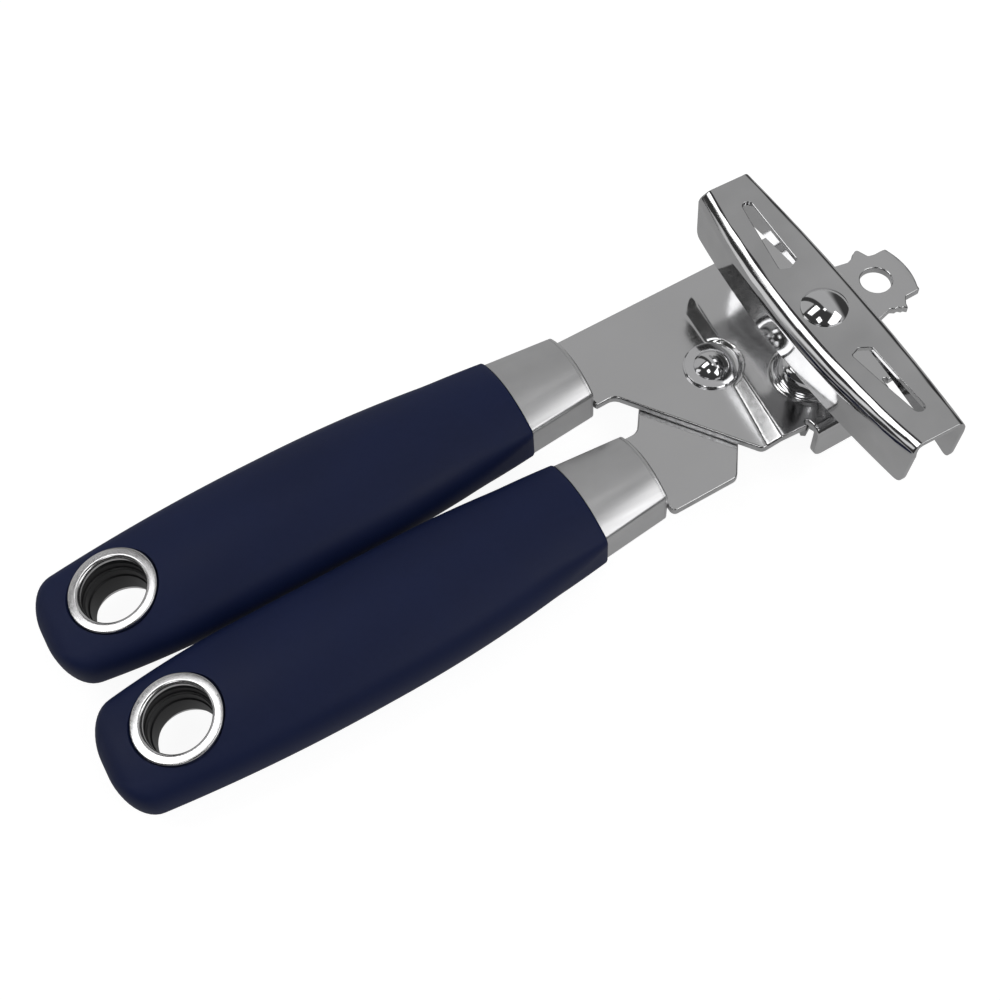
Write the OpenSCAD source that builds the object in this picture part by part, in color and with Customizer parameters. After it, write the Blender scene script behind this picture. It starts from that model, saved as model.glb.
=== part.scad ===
// Manual can opener: two scissor arms on one pivot, a turning key that drives a
// serrated feed wheel, and a geared cutter wheel. Shown closed, key side up.
// Layout frame: pivot axis at x = y = 0, face of the front plate at z = 0,
// +X from the handles to the head, +Z to the key. place() moves it to the
// model's origin, the middle of the bounding box on the surface it rests on.

/* [Plates] */
// Thickness of both steel plates
plate_t = 2.0; // [1.5:0.1:2.4]
// Clearance between the two plates
plate_gap = 0.05; // [0.02:0.01:0.1]
// Height that the front jaw is raised toward the key at its lower edge
jaw_rise = 1.3; // [0.8:0.1:1.6]
// Length of the rim guide along the jaw
guide_len = 20.5; // [14:0.5:22]
// How far the rim guide reaches behind the front face
guide_depth = 9.0; // [7:0.5:10]
// Radius of the hole in the opener tip
tip_hole_r = 3.7; // [2.4:0.1:4.0]

/* [Pivot] */
// Radius of the pivot rivet's shank
pivot_r = 3.0; // [2.5:0.1:3.5]
// Radius of the thin washer under the rivet head
pivot_washer_r = 6.4; // [5.5:0.1:6.6]
// Radius of the rivet's domed head
pivot_head_r = 3.7; // [3.5:0.1:4.2]
// Height of the rivet's domed head
pivot_head_h = 1.9; // [1.2:0.1:2.4]

/* [Turning key] */
// Length of the key
key_len = 78; // [70:1:80]
// Half width of the key at its ends
key_end_w = 6.4; // [5.5:0.1:7]
// Half width of the key at its middle
key_mid_w = 9.2; // [8:0.1:10]
// Height of the key's top over the front plate, at its middle
key_mid_z = 24.5; // [22:0.5:26]
// How much higher the key's ends stand than its middle
key_end_lift = 2.1; // [0:0.1:4]
// Height of the flanges' lower edges over the front plate
key_low_z = 13.3; // [11:0.1:15]
// Sheet thickness of the key
key_t = 1.3; // [1:0.1:1.6]
// Bend radius of the key's long edges, outside
key_bend_r = 3.0; // [2:0.1:4]
// Angle of the key from the handles' axis
key_angle = 88; // [75:1:105]

/* [Drive] */
// Radius of the drive shaft
shaft_r = 3.2; // [2.8:0.1:3.6]
// Running clearance of the shafts, on the radius
run_fit = 0.05; // [0.02:0.01:0.08]
// Number of teeth of both gears
teeth = 12; // [12:1:12]
// Gear module
gear_m = 1.75; // [1.7:0.01:1.8]
// Thickness of the gears
gear_t = 2.4; // [2:0.1:2.6]
// Radius of the serrated feed wheel
feed_r = 9.2; // [8:0.1:9.6]
// Width of the feed wheel
feed_t = 2.8; // [2:0.1:3]
// Number of serrations on the feed wheel
feed_teeth = 26; // [20:1:32]
// Radius of the cutter wheel
cutter_r = 12.2; // [11:0.1:12.4]
// Thickness of the cutter wheel
cutter_t = 1.3; // [1:0.1:1.6]

/* [Handles] */
// Distance from the handles' axis to each grip's middle
handle_y = 16.1; // [15.6:0.1:17]
// Half width of a grip at its widest
grip_w = 15.7; // [14:0.1:15.8]
// Half thickness of a grip at its thickest
grip_h = 9.6; // [8.5:0.1:10.5]
// Distance from the pivot to the grips' tail ends
tail_x = 156; // [150:1:160]
// Distance from the pivot to the back of the ferrules
ferrule_back_x = 44.5; // [42:0.5:48]
// Distance from the pivot to the front of the ferrules
ferrule_front_x = 27.8; // [26:0.1:28]
// Half width of a ferrule at its front
ferrule_w = 9.4; // [9:0.1:9.8]
// Half height of the handles' flat sides
side_h = 4.4; // [4:0.1:5]
// Distance from the pivot to the hang holes
hang_x = 139; // [136:0.5:141]
// Radius of the hang holes
hang_r = 6.6; // [5:0.1:6.8]
// Outer radius of the hang rings
ring_r = 9.7; // [9:0.1:10]
// Slope of the grip's faces at the hang hole
ring_tilt = 5.7; // [4:0.1:7]

/* [Hidden] */
$fn = 64;
steel = [0.72, 0.73, 0.75];
dark_steel = [0.55, 0.56, 0.58];
navy = [0.09, 0.12, 0.24];
black = [0.05, 0.05, 0.06];

// where the drive shaft and the cutter stud stand
drive_xy = [16.95, -13.6];
gear_gap = teeth * gear_m;
mesh_dx = 2.95;
cutter_xy = drive_xy + [mesh_dx, sqrt(gear_gap * gear_gap - mesh_dx * mesh_dx)];
mesh_angle = atan2(cutter_xy[1] - drive_xy[1], mesh_dx);

// levels, from the key side to the back
rear_z = -plate_t - plate_gap;
rear_back_z = rear_z - plate_t;
gear_z = rear_back_z - 0.3;
gear_back_z = gear_z - gear_t;
feed_back_z = gear_back_z - feed_t;
cutter_z = feed_back_z - 0.3;
cutter_back_z = cutter_z - cutter_t;
front_mid_z = -plate_t / 2;
rear_mid_z = rear_z - plate_t / 2;

// the raised jaw turns up about this line
rise_y0 = 18.8;
rise_y1 = -24.6;
seat_z = 1.35;
seat_r = 8.4;

// bounding box in the layout frame
tip_x = 56.5;
key_reach = key_len / 2 * sin(key_angle) + key_end_w * abs(cos(key_angle));
box_x = [-tail_x, tip_x];
box_y = [drive_xy[1] - key_reach, handle_y + grip_w];
rest_z = rear_mid_z - grip_h;

// ---------- helpers ----------

module place() {
    translate([-(box_x[0] + box_x[1]) / 2, -(box_y[0] + box_y[1]) / 2, -rest_z])
        children();
}

// extrudes an outline downward from z_top
module sheet(z_top, t) {
    translate([0, 0, z_top - t])
        linear_extrude(height = t)
            children();
}

// points of an arc, for outlines
function arc(c, r, a0, a1, n) = [for (i = [0:n]) let (a = a0 + (a1 - a0) * i / n)
    c + r * [cos(a), sin(a)]];

// closed skin over rings of points that all have the same count
module skin(rings) {
    n = len(rings[0]);
    m = len(rings);
    pts = [for (ring = rings) for (p = ring) p];
    sides = [for (j = [0:m - 2]) for (i = [0:n - 1]) let (k = (i + 1) % n)
        each [[j * n + i, j * n + k, (j + 1) * n + k], [j * n + i, (j + 1) * n + k, (j + 1) * n + i]]];
    first = [[for (i = [0:n - 1]) n - 1 - i]];
    last = [[for (i = [0:n - 1]) (m - 1) * n + i]];
    polyhedron(points = pts, faces = concat(sides, first, last), convexity = 6);
}

// ---------- handles ----------

// quarter of a handle's cross-section: flat side, rounded corner, crowned face
function crown_z(y, w, hs, h) = hs + (h - hs) * (1 - pow(y / w, 2));
function quarter(w, hs, h, r) = concat(
    [for (i = [0:5]) let (t = i / 5, y1 = w - r, z1 = crown_z(w - r, w, hs, h))
        (1 - t) * (1 - t) * [w, max(hs - r, 0.3)] + 2 * t * (1 - t) * [w, hs + r * 0.15] + t * t * [y1, z1]],
    [for (i = [1:6]) let (y = (w - r) * (1 - i / 6)) [y, crown_z(y, w, hs, h)]]);
function flip(pts, sy, sz) = [for (p = pts) [p[0] * sy, p[1] * sz]];
function back(pts) = [for (i = [len(pts) - 1:-1:0]) pts[i]];
function trim(pts) = [for (i = [0:len(pts) - 2]) pts[i]];
function section(w, hs, h, r) = let (q = quarter(w, hs, h, r)) concat(
    trim(q), back(flip(q, -1, 1)), trim(flip(q, -1, -1)), back(flip(q, 1, -1)));
function ring_at(x, yc, w, hs, h, r) = [for (p = section(w, hs, h, r)) [x, yc + p[0], p[1]]];

// plan and side shape of a grip at a distance x along the handles
grip_len = tail_x - ferrule_back_x;
ferrule_back_w = 10.9;
ferrule_back_yc = 15.1;
ferrule_front_yc = 14.95;
ferrule_h = 7.8;
end_round = [6.5, 10];
function grip_outer(x) = handle_y + grip_w
    - (x > -97 ? 0.0018 * pow(x + 97, 2) : x < -103 ? 0.0013 * pow(x + 103, 2) : 0);
function grip_inner(x) = handle_y - grip_w
    + (x > -85 ? 0.002 * pow(x + 85, 2) : x < -120 ? 0.0027 * pow(x + 120, 2) : 0);
function end_inset(x) = let (d = min((x + tail_x) / end_round[0], 1))
    end_round[1] * (1 - sqrt(max(1 - pow(1 - d, 2), 0)));
function grip_half(x) = let (d = (x + 96) / (x > -96 ? 51.5 : 60))
    x > -96 ? grip_h - (grip_h - ferrule_h - 0.25) * d * d : grip_h - 4.4 * d * d;
function end_thin(x) = let (d = x + tail_x, r = 4.5)
    d >= r ? 0 : (r - sqrt(max(r * r - pow(r - d, 2), 0))) * 0.9;
function corner(x) = x > -60 ? 1.2 + 3.4 * (-ferrule_back_x - x) / (60 - ferrule_back_x) : 4.6;
function grip_ring(x) = let (yo = grip_outer(x) - end_inset(x), yi = grip_inner(x) + end_inset(x),
        h = grip_half(x) - end_thin(x), w = (yo - yi) / 2)
    ring_at(x, (yo + yi) / 2, w, max(side_h - end_thin(x) * 0.8, 1), h, min(corner(x), w * 0.6));
grip_stations = concat(
    [for (a = [0:15:90]) -tail_x + end_round[0] * (1 - cos(a))],
    [for (i = [1:15]) -tail_x + end_round[0] + (grip_len - end_round[0]) * i / 15]);

// the bar of the core that the grip and the ferrule are pressed on
core_w = 7.6;
core_h = 4.2;
core_back = 124;
tang_w = 5.5;
tang_back = 108;
fit_gap = 0.05;

module core_bar(grow) {
    translate([-core_back - grow, ferrule_front_yc - core_w - grow, -core_h - grow])
        cube([core_back - ferrule_front_x - 0.4 + grow, 2 * (core_w + grow), 2 * (core_h + grow)]);
}

// places a feature on one of the grip's two faces at the hang hole
module at_hang_face(side) {
    face_z = grip_half(-hang_x) - 0.35;
    translate([-hang_x, handle_y, 0])
        mirror([0, 0, side < 0 ? 1 : 0])
            translate([0, 0, face_z])
                rotate([0, -ring_tilt, 0])
                    children();
}

module grip_body() {
    difference() {
        skin([for (x = grip_stations) grip_ring(x)]);
        core_bar(fit_gap);
        translate([-hang_x, handle_y, -20])
            cylinder(r = 8.6 + fit_gap, h = 40);
        for (side = [1, -1])
            at_hang_face(side)
                translate([0, 0, -1.2])
                    cylinder(r = ring_r + 0.25, h = 6);
    }
}

module core_body() {
    difference() {
        core_bar(0);
        translate([-tang_back - fit_gap, ferrule_front_yc - tang_w - fit_gap, -plate_t / 2 - fit_gap])
            cube([tang_back, 2 * (tang_w + fit_gap), plate_t + 2 * fit_gap]);
    }
}

module ferrule_body() {
    difference() {
        skin([ring_at(-ferrule_back_x + 0.05, ferrule_back_yc, ferrule_back_w, side_h, ferrule_h, 0.9),
            ring_at(-ferrule_front_x - 0.4, ferrule_front_yc, ferrule_w, side_h, ferrule_h, 0.9),
            ring_at(-ferrule_front_x, ferrule_front_yc, ferrule_w - 0.35, side_h - 0.3, ferrule_h - 0.35, 0.9)]);
        core_bar(fit_gap);
        translate([-ferrule_front_x - 1.2, ferrule_front_yc - 6, -plate_t / 2 - 0.3])
            cube([4, 12, plate_t + 0.6]);
    }
}

// flat steel washer with a rolled inner lip
module hang_ring_body(side) {
    at_hang_face(side)
        rotate_extrude()
            polygon(concat(
                [[hang_r + 0.65, -1.15], [ring_r, -1.15]],
                arc([ring_r - 0.5, -0.1], 0.5, 0, 90, 4),
                arc([hang_r + 1.35, -0.3], 0.7, 90, 180, 5)));
}

// stepped plastic sleeve between the two rings
module hang_bush_body() {
    bush_h = grip_half(-hang_x) - 2.6;
    translate([-hang_x, handle_y, 0])
        rotate_extrude()
            polygon([[hang_r, -bush_h], [8.6, -bush_h], [8.6, bush_h], [hang_r + 1.0, bush_h],
                [hang_r + 0.8, bush_h - 2.2], [hang_r, bush_h - 3.0]]);
}

// ---------- arms ----------

shoulder_x = -ferrule_front_x + 0.15;
tang_y = [ferrule_front_yc - tang_w, ferrule_front_yc + tang_w];
guide_x = 9.2;
guide_y = -25.4;
guide_bend_r = 0.6;
guide_end_x = guide_x + guide_len - 0.3;
head_x = 35.5;

module front_outline() {
    polygon(concat(
        [[-tang_back, tang_y[0]], [shoulder_x, tang_y[0]], [shoulder_x, 4.9]],
        arc([-24.6, 2.0], 2.9, 90, 36, 5),
        arc([-2.0, -22.2], 2.0, 205, 250, 4),
        [[1.9, -24.6], [8.2, -25.0], [8.4, -24.0], [9.0, -24.0], [guide_x, guide_y],
            [guide_end_x, guide_y], [guide_end_x + 0.2, -24.0], [guide_end_x + 0.8, -24.0],
            [guide_end_x + 1.0, -24.7]],
        arc([head_x - 2, -22.6], 2.0, -90, 0, 5),
        arc([head_x - 2, 22.4], 2.0, 0, 90, 5),
        [[shoulder_x, 24.6], [shoulder_x, tang_y[1]], [-tang_back, tang_y[1]]]));
}

// the whole sheet before its outline is cut: flat, with the jaw's side raised
// about the line y = rise_y0 and a narrow ramp that widens toward the lower edge
ramp_top = [7.0, rise_y0];
ramp_flat = [-2.9, rise_y1];
ramp_w = 4.6;
jaw_slope = jaw_rise / (rise_y0 - rise_y1);
far_y = -40;
function run_out(p) = ramp_top + (p - ramp_top) * (rise_y0 - far_y) / (rise_y0 - rise_y1);
function jaw_z(y) = jaw_slope * (rise_y0 - y);

module folded_sheet() {
    a = run_out(ramp_flat);
    b = run_out(ramp_flat + [ramp_w, 0]);
    z = jaw_z(far_y);
    top = [[-200, far_y, 0], [a[0], far_y, 0], [b[0], far_y, z], [40, far_y, z], [40, rise_y0, 0],
        [40, 60, 0], [-200, 60, 0], [ramp_top[0], rise_y0, 0]];
    bottom = [for (p = top) p - [0, 0, plate_t]];
    polyhedron(points = concat(top, bottom), convexity = 4, faces = [
        [6, 5, 4, 7], [6, 7, 1, 0], [7, 2, 1], [7, 4, 3, 2],
        [15, 12, 13, 14], [8, 9, 15, 14], [9, 10, 15], [10, 11, 12, 15],
        [0, 1, 9, 8], [1, 2, 10, 9], [2, 3, 11, 10],
        [3, 4, 12, 11], [4, 5, 13, 12],
        [5, 6, 14, 13], [6, 0, 8, 14]]);
}

// the jaw's lower edge, bent down behind to guide the can's rim
module guide_section() {
    z_in = jaw_z(guide_y) - plate_t - guide_bend_r;
    low = -guide_depth;
    polygon(concat(
        [[guide_y + 0.6, z_in + guide_bend_r + 0.02], [guide_y + 0.6, z_in + guide_bend_r + plate_t - 0.04]],
        arc([guide_y, z_in], guide_bend_r + plate_t - 0.02, 90, 180, 8),
        [[guide_y - guide_bend_r - plate_t + 0.02, low], [guide_y - guide_bend_r, low]],
        arc([guide_y, z_in], guide_bend_r, 180, 90, 5)));
}

module rim_guide() {
    r = 2.2;
    intersection() {
        translate([guide_x, 0, 0])
            rotate([90, 0, 90])
                linear_extrude(height = guide_len - 0.3)
                    guide_section();
        // rounds the guide's two lower corners
        rotate([90, 0, 0])
            linear_extrude(height = 40)
                polygon(concat([[guide_x - 1, 4], [guide_x - 0.01, 4], [guide_x - 0.01, r - guide_depth]],
                    arc([guide_x + r, r - guide_depth], r, 186, 270, 5),
                    arc([guide_end_x - r, r - guide_depth], r, 270, 354, 5),
                    [[guide_end_x + 0.01, 4]]));
    }
}

module front_plate() {
    color(steel) place() {
        difference() {
            union() {
                intersection() {
                    folded_sheet();
                    translate([0, 0, -10])
                        linear_extrude(height = 20)
                            front_outline();
                }
                rim_guide();
                translate([drive_xy[0], drive_xy[1], seat_z - plate_t - 0.8])
                    cylinder(r = seat_r, h = plate_t + 0.8);
            }
            cylinder(r = pivot_washer_r + 0.25, h = 4);
            cylinder(r = pivot_r, h = 20, center = true);
            translate([drive_xy[0], drive_xy[1], 0])
                cylinder(r = 5.0, h = 20, center = true);
        }
    }
}

tip_hole_x = 47.7;
tip_hole_y = 1.0;

module rear_outline() {
    polygon(concat(
        [[-tang_back, -tang_y[0]], [-tang_back, -tang_y[1]], [shoulder_x, -tang_y[1]],
            [shoulder_x, -26.2], [-12.2, -26.2]],
        arc([-12.0, -24.2], 2.0, 280, 323, 4),
        [[-6.3, -19.8], [2.0, -8.4], [6.0, -7.4], [26, -7.4], [36, -8.9], [41.3, -8.6], [45.4, -8.0],
            [47.4, -8.9], [48.9, -9.4], [50.4, -6.7], [53.9, -6.7]],
        arc([tip_x - 16, 0.3], 16.0, -24, 24, 8),
        [[50.8, 7.9], [48.9, 10.7], [46.0, 8.9], [36, 9.8], [31, 14.5], [22, 19.5], [2, 21.5]],
        arc([-2.5, 19.5], 2.0, 90, 145, 4),
        arc([-24.6, -2.0], 2.9, -36, -90, 5),
        [[shoulder_x, -4.9], [shoulder_x, -tang_y[0]]]));
}

module rear_plate() {
    color(steel) place() {
        difference() {
            sheet(rear_z, plate_t)
                rear_outline();
            cylinder(r = pivot_r + run_fit, h = 20, center = true);
            translate([cutter_xy[0], cutter_xy[1], 0])
                cylinder(r = 3.0, h = 20, center = true);
            translate([tip_hole_x, tip_hole_y, 0])
                cylinder(r = tip_hole_r, h = 20, center = true);
        }
    }
}

module to_front() {
    place()
        translate([0, 0, front_mid_z])
            children();
}

module to_rear() {
    place()
        translate([0, 0, rear_mid_z])
            mirror([0, 1, 0])
                children();
}

module front_grip() { color(navy) to_front() grip_body(); }
module rear_grip() { color(navy) to_rear() grip_body(); }
module front_core() { color(black) to_front() core_body(); }
module rear_core() { color(black) to_rear() core_body(); }
module front_ferrule() { color(steel) to_front() ferrule_body(); }
module rear_ferrule() { color(steel) to_rear() ferrule_body(); }
module front_hang_ring() { color(steel) to_front() hang_ring_body(1); }
module rear_hang_ring() { color(steel) to_rear() hang_ring_body(1); }
module front_back_ring() { color(steel) to_front() hang_ring_body(-1); }
module rear_back_ring() { color(steel) to_rear() hang_ring_body(-1); }
module front_hang_bush() { color(black) to_front() hang_bush_body(); }
module rear_hang_bush() { color(black) to_rear() hang_bush_body(); }

// ---------- pivot ----------

washer_t = 0.6;
pivot_back_z = rear_back_z - washer_t - 0.1;

// points of a domed head, from its rim to the axis
function dome(r, h, n) = let (big = (r * r + h * h) / (2 * h)) [for (i = [0:n])
    let (x = r * (1 - i / n)) [x, sqrt(big * big - x * x) - big + h]];

module pivot_rivet() {
    color(steel) place()
        rotate_extrude()
            polygon(concat(
                [[0, pivot_back_z - 1.2], [pivot_head_r, pivot_back_z - 1.2], [pivot_head_r, pivot_back_z],
                    [pivot_r, pivot_back_z], [pivot_r, washer_t], [pivot_head_r, washer_t]],
                [for (p = dome(pivot_head_r, pivot_head_h, 8)) [p[0], p[1] + washer_t + 0.2]]));
}

// thin dished washer under the domed head
module pivot_washer() {
    color(steel) place()
        rotate_extrude()
            polygon([[pivot_r, 0], [pivot_washer_r, 0], [pivot_washer_r, 0.35],
                [pivot_washer_r - 0.3, washer_t], [pivot_r, washer_t]]);
}

module pivot_back_washer() {
    color(steel) place()
        translate([0, 0, pivot_back_z])
            rotate_extrude()
                polygon([[pivot_r + 0.02, 0], [5.6, 0], [5.6, washer_t], [pivot_r + 0.02, washer_t]]);
}

// ---------- turning key and drive train ----------

module at_drive() {
    place()
        translate([drive_xy[0], drive_xy[1], 0])
            children();
}

// the key's shape along u, from -1 to 1 over its length
function key_w(u) = key_mid_w - (key_mid_w - key_end_w) * u * u;
function key_z(u) = key_mid_z + key_end_lift * u * u;
function key_r(u) = key_bend_r + 0.8 * (1 - u * u);
function key_half(w, z, r, low) = concat([[w, low]],
    [for (i = [0:6]) let (a = 15 * i) [w - r + r * cos(a), z - r + r * sin(a)]]);
function key_profile(u) = let (w = key_w(u), z = key_z(u), r = key_r(u), low = key_low_z,
        outer = key_half(w, z, r, low), inner = key_half(w - key_t, z - key_t, r - key_t, low))
    concat(outer, back(flip(outer, -1, 1)), flip(inner, -1, 1), back(inner));
key_steps = 16;
key_ring = len(key_profile(0));

// two end faces of the key as strips between its outer and inner skin
function key_ends(last) = [for (i = [0:key_ring / 2 - 2]) let (j = key_ring - 1 - i)
    each [[i, j, j - 1, i + 1], [last + i, last + i + 1, last + j - 1, last + j]]];

module key_sheet() {
    rings = [for (i = [-key_steps / 2:key_steps / 2]) let (u = 2 * i / key_steps)
        [for (p = key_profile(u)) [u * key_len / 2, p[0], p[1]]]];
    n = key_ring;
    sides = [for (j = [0:key_steps - 1]) for (i = [0:n - 1]) let (k = (i + 1) % n)
        each [[j * n + i, j * n + k, (j + 1) * n + k], [j * n + i, (j + 1) * n + k, (j + 1) * n + i]]];
    polyhedron(points = [for (ring = rings) for (p = ring) p],
        faces = concat(sides, key_ends(key_steps * n)), convexity = 6);
}

// tapered slot, straight along one side and slanted along the other
module key_slot() {
    translate([0, 0, 18])
        linear_extrude(height = 20)
            polygon(concat([[13.2, 2.3], [12.6, 1.7], [12.3, 0.4], [12.6, -1.4], [13.5, -2.2], [14.4, -2.3]],
                arc([30.7, -1.0], 1.15, -85, 78, 7)));
}

module turning_key() {
    color(steel) at_drive()
        rotate([0, 0, key_angle])
            difference() {
                key_sheet();
                key_slot();
                mirror([1, 0, 0])
                    key_slot();
                cylinder(r = 3.0, h = 60, center = true);
            }
}

shaft_head_r = 5.0;
spacer_low_z = 7.1;
spacer_r = 4.4;

// one turned shaft, riveted over the key and held by the feed wheel behind
module drive_shaft() {
    top = key_z(0);
    color(steel) at_drive()
        rotate_extrude()
            polygon(concat(
                [[0, feed_back_z - 1.0], [4.6, feed_back_z - 1.0], [4.6, feed_back_z], [shaft_r, feed_back_z],
                    [shaft_r, top - key_t - 0.02], [3.0, top - key_t - 0.02], [3.0, top + 0.02],
                    [shaft_head_r, top + 0.02]],
                [for (p = dome(shaft_head_r, 1.9, 9)) [p[0], p[1] + top + 0.3]]));
}

module key_spacer() {
    color(steel) at_drive()
        translate([0, 0, spacer_low_z])
            difference() {
                cylinder(r = spacer_r, h = key_z(0) - key_t - spacer_low_z - 0.03);
                translate([0, 0, -1])
                    cylinder(r = shaft_r + 0.01, h = 30);
            }
}

// flanged bushing pressed into the front plate
module shaft_bushing() {
    bore = shaft_r + run_fit;
    color(steel) at_drive()
        rotate_extrude()
            polygon([[bore, seat_z - plate_t - 0.6], [4.98, seat_z - plate_t - 0.6], [4.98, seat_z + 0.62],
                [7.2, seat_z + 0.62], [7.2, seat_z + 1.6], [6.4, seat_z + 2.2], [6.1, seat_z + 4.6],
                [5.3, seat_z + 5.2], [bore, seat_z + 5.2]]);
}

module shaft_washer() {
    color(steel) at_drive()
        translate([0, 0, seat_z])
            rotate_extrude()
                polygon([[5.0, 0], [seat_r, 0], [seat_r, 0.4], [seat_r - 0.2, 0.6], [5.0, 0.6]]);
}

gear_tip_r = gear_gap / 2 + gear_m * 0.9;
gear_root_r = gear_gap / 2 - gear_m * 1.15;

// half angles of a tooth at its root, pitch line and tip
function gear_points(turn) = [for (i = [0:teeth - 1]) let (a = turn + i * 360 / teeth)
    each [gear_root_r * [cos(a - 10.6), sin(a - 10.6)],
        gear_gap / 2 * [cos(a - 6.6), sin(a - 6.6)],
        gear_tip_r * [cos(a - 2.6), sin(a - 2.6)],
        gear_tip_r * [cos(a + 2.6), sin(a + 2.6)],
        gear_gap / 2 * [cos(a + 6.6), sin(a + 6.6)],
        gear_root_r * [cos(a + 10.6), sin(a + 10.6)]]];

module drive_gear() {
    color(dark_steel) at_drive()
        difference() {
            sheet(gear_z, gear_t)
                polygon(gear_points(mesh_angle));
            cylinder(r = shaft_r + 0.01, h = 60, center = true);
        }
}

module gear_spacer() {
    top = seat_z - plate_t - 0.7;
    color(steel) at_drive()
        translate([0, 0, gear_z])
            difference() {
                cylinder(r = 4.9, h = top - gear_z);
                cylinder(r = shaft_r + 0.01, h = 60, center = true);
            }
}

module feed_wheel() {
    step = 360 / feed_teeth;
    color(dark_steel) at_drive()
        difference() {
            sheet(gear_back_z - 0.02, feed_t - 0.04)
                polygon([for (i = [0:feed_teeth - 1]) each [
                    feed_r * [cos(i * step), sin(i * step)],
                    (feed_r - 0.9) * [cos((i + 0.45) * step), sin((i + 0.45) * step)],
                    (feed_r - 0.9) * [cos((i + 0.55) * step), sin((i + 0.55) * step)]]]);
            cylinder(r = shaft_r + 0.01, h = 60, center = true);
        }
}

// ---------- cutter ----------

module at_cutter() {
    place()
        translate([cutter_xy[0], cutter_xy[1], 0])
            children();
}

stud_r = 3.2;

module cutter_gear() {
    color(dark_steel) at_cutter()
        difference() {
            sheet(gear_z, gear_t)
                polygon(gear_points(mesh_angle + 180 + 180 / teeth));
            cylinder(r = stud_r + run_fit, h = 60, center = true);
        }
}

// disc with a sharp bevelled edge and a hub that reaches the gear
module cutter_wheel() {
    bore = stud_r + run_fit;
    color(steel) at_cutter()
        rotate_extrude()
            polygon([[bore, cutter_back_z], [cutter_r - 2.4, cutter_back_z], [cutter_r - 0.02, cutter_z - 0.12],
                [cutter_r - 0.02, cutter_z], [5.6, cutter_z], [5.6, gear_back_z - 0.02],
                [bore, gear_back_z - 0.02]]);
}

module cutter_washer() {
    color(steel) at_cutter()
        translate([0, 0, gear_z + 0.05])
            difference() {
                cylinder(r = 5.2, h = rear_back_z - gear_z - 0.05);
                cylinder(r = stud_r + run_fit, h = 9, center = true);
            }
}

module cutter_stud() {
    head_z = cutter_back_z - 0.1;
    color(steel) at_cutter()
        rotate_extrude()
            polygon([[0, head_z - 0.9], [4.4, head_z - 0.9], [4.9, head_z - 0.5], [4.9, head_z],
                [stud_r, head_z], [stud_r, rear_back_z], [3.0, rear_back_z], [3.0, rear_z], [0, rear_z]]);
}

front_plate();
rear_plate();
front_grip();
rear_grip();
front_core();
rear_core();
front_ferrule();
rear_ferrule();
front_hang_ring();
rear_hang_ring();
front_back_ring();
rear_back_ring();
front_hang_bush();
rear_hang_bush();
pivot_rivet();
pivot_washer();
pivot_back_washer();
shaft_bushing();
shaft_washer();
turning_key();
drive_shaft();
key_spacer();
drive_gear();
gear_spacer();
feed_wheel();
cutter_wheel();
cutter_gear();
cutter_stud();
cutter_washer();
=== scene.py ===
import bpy
import bmesh
import math
from mathutils import Matrix, Vector


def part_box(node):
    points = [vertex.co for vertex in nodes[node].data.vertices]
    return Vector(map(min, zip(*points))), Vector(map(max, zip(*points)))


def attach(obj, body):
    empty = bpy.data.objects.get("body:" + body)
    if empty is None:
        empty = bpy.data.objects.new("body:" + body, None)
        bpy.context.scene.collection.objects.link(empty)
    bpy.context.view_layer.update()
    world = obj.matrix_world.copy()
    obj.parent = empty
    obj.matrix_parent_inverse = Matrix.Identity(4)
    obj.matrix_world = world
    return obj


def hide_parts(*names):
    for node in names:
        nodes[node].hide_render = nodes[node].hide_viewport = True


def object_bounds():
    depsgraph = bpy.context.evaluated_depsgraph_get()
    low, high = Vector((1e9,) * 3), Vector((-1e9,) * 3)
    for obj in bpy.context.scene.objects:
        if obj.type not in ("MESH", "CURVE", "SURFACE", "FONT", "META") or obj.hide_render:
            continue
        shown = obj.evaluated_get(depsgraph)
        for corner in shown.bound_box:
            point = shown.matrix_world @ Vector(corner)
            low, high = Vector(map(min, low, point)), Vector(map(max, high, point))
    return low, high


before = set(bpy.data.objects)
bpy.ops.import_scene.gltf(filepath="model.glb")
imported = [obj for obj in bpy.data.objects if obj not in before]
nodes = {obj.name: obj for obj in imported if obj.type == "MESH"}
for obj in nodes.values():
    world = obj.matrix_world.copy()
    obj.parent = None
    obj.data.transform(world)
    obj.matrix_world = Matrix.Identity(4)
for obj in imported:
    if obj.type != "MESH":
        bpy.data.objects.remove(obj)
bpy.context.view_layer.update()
MM = 0.001


# ---------------------------------------------------------------- places
# Everything is laid out in millimetres from the pivot axis, on the front plate's face.
def middle(node):
    lo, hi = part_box(node)
    return (lo + hi) / 2


pivot_lo, pivot_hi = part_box("pivot_washer")
ORIGIN = Vector(((pivot_lo.x + pivot_hi.x) / 2, (pivot_lo.y + pivot_hi.y) / 2, pivot_lo.z))


def local(v):
    return (v - ORIGIN) / MM


def level(node):
    lo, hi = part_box(node)
    return local(lo).z, local(hi).z


drive = local(middle("drive_gear"))
cutter = local(middle("cutter_gear"))
rear_lo, rear_hi = level("rear_plate")
PLATE_T = 2.0
front_mid = -PLATE_T / 2
rear_mid = (rear_lo + rear_hi) / 2
floor_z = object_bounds()[0][2]


# ---------------------------------------------------------------- materials
def new_material(name):
    m = bpy.data.materials.new(name)
    m.use_nodes = True
    nt = m.node_tree
    shader = nt.nodes["Principled BSDF"]
    return m, nt, shader


def put(nt, kind, **settings):
    n = nt.nodes.new(kind)
    for key, value in settings.items():
        setattr(n, key, value)
    return n


def math_node(nt, operation, *values):
    """A math node, each of whose values is a number or another node's output."""
    n = put(nt, "ShaderNodeMath", operation=operation)
    for socket, value in zip(n.inputs, values):
        if isinstance(value, (int, float)):
            socket.default_value = value
        else:
            nt.links.new(value, socket)
    return n.outputs[0]


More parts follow.
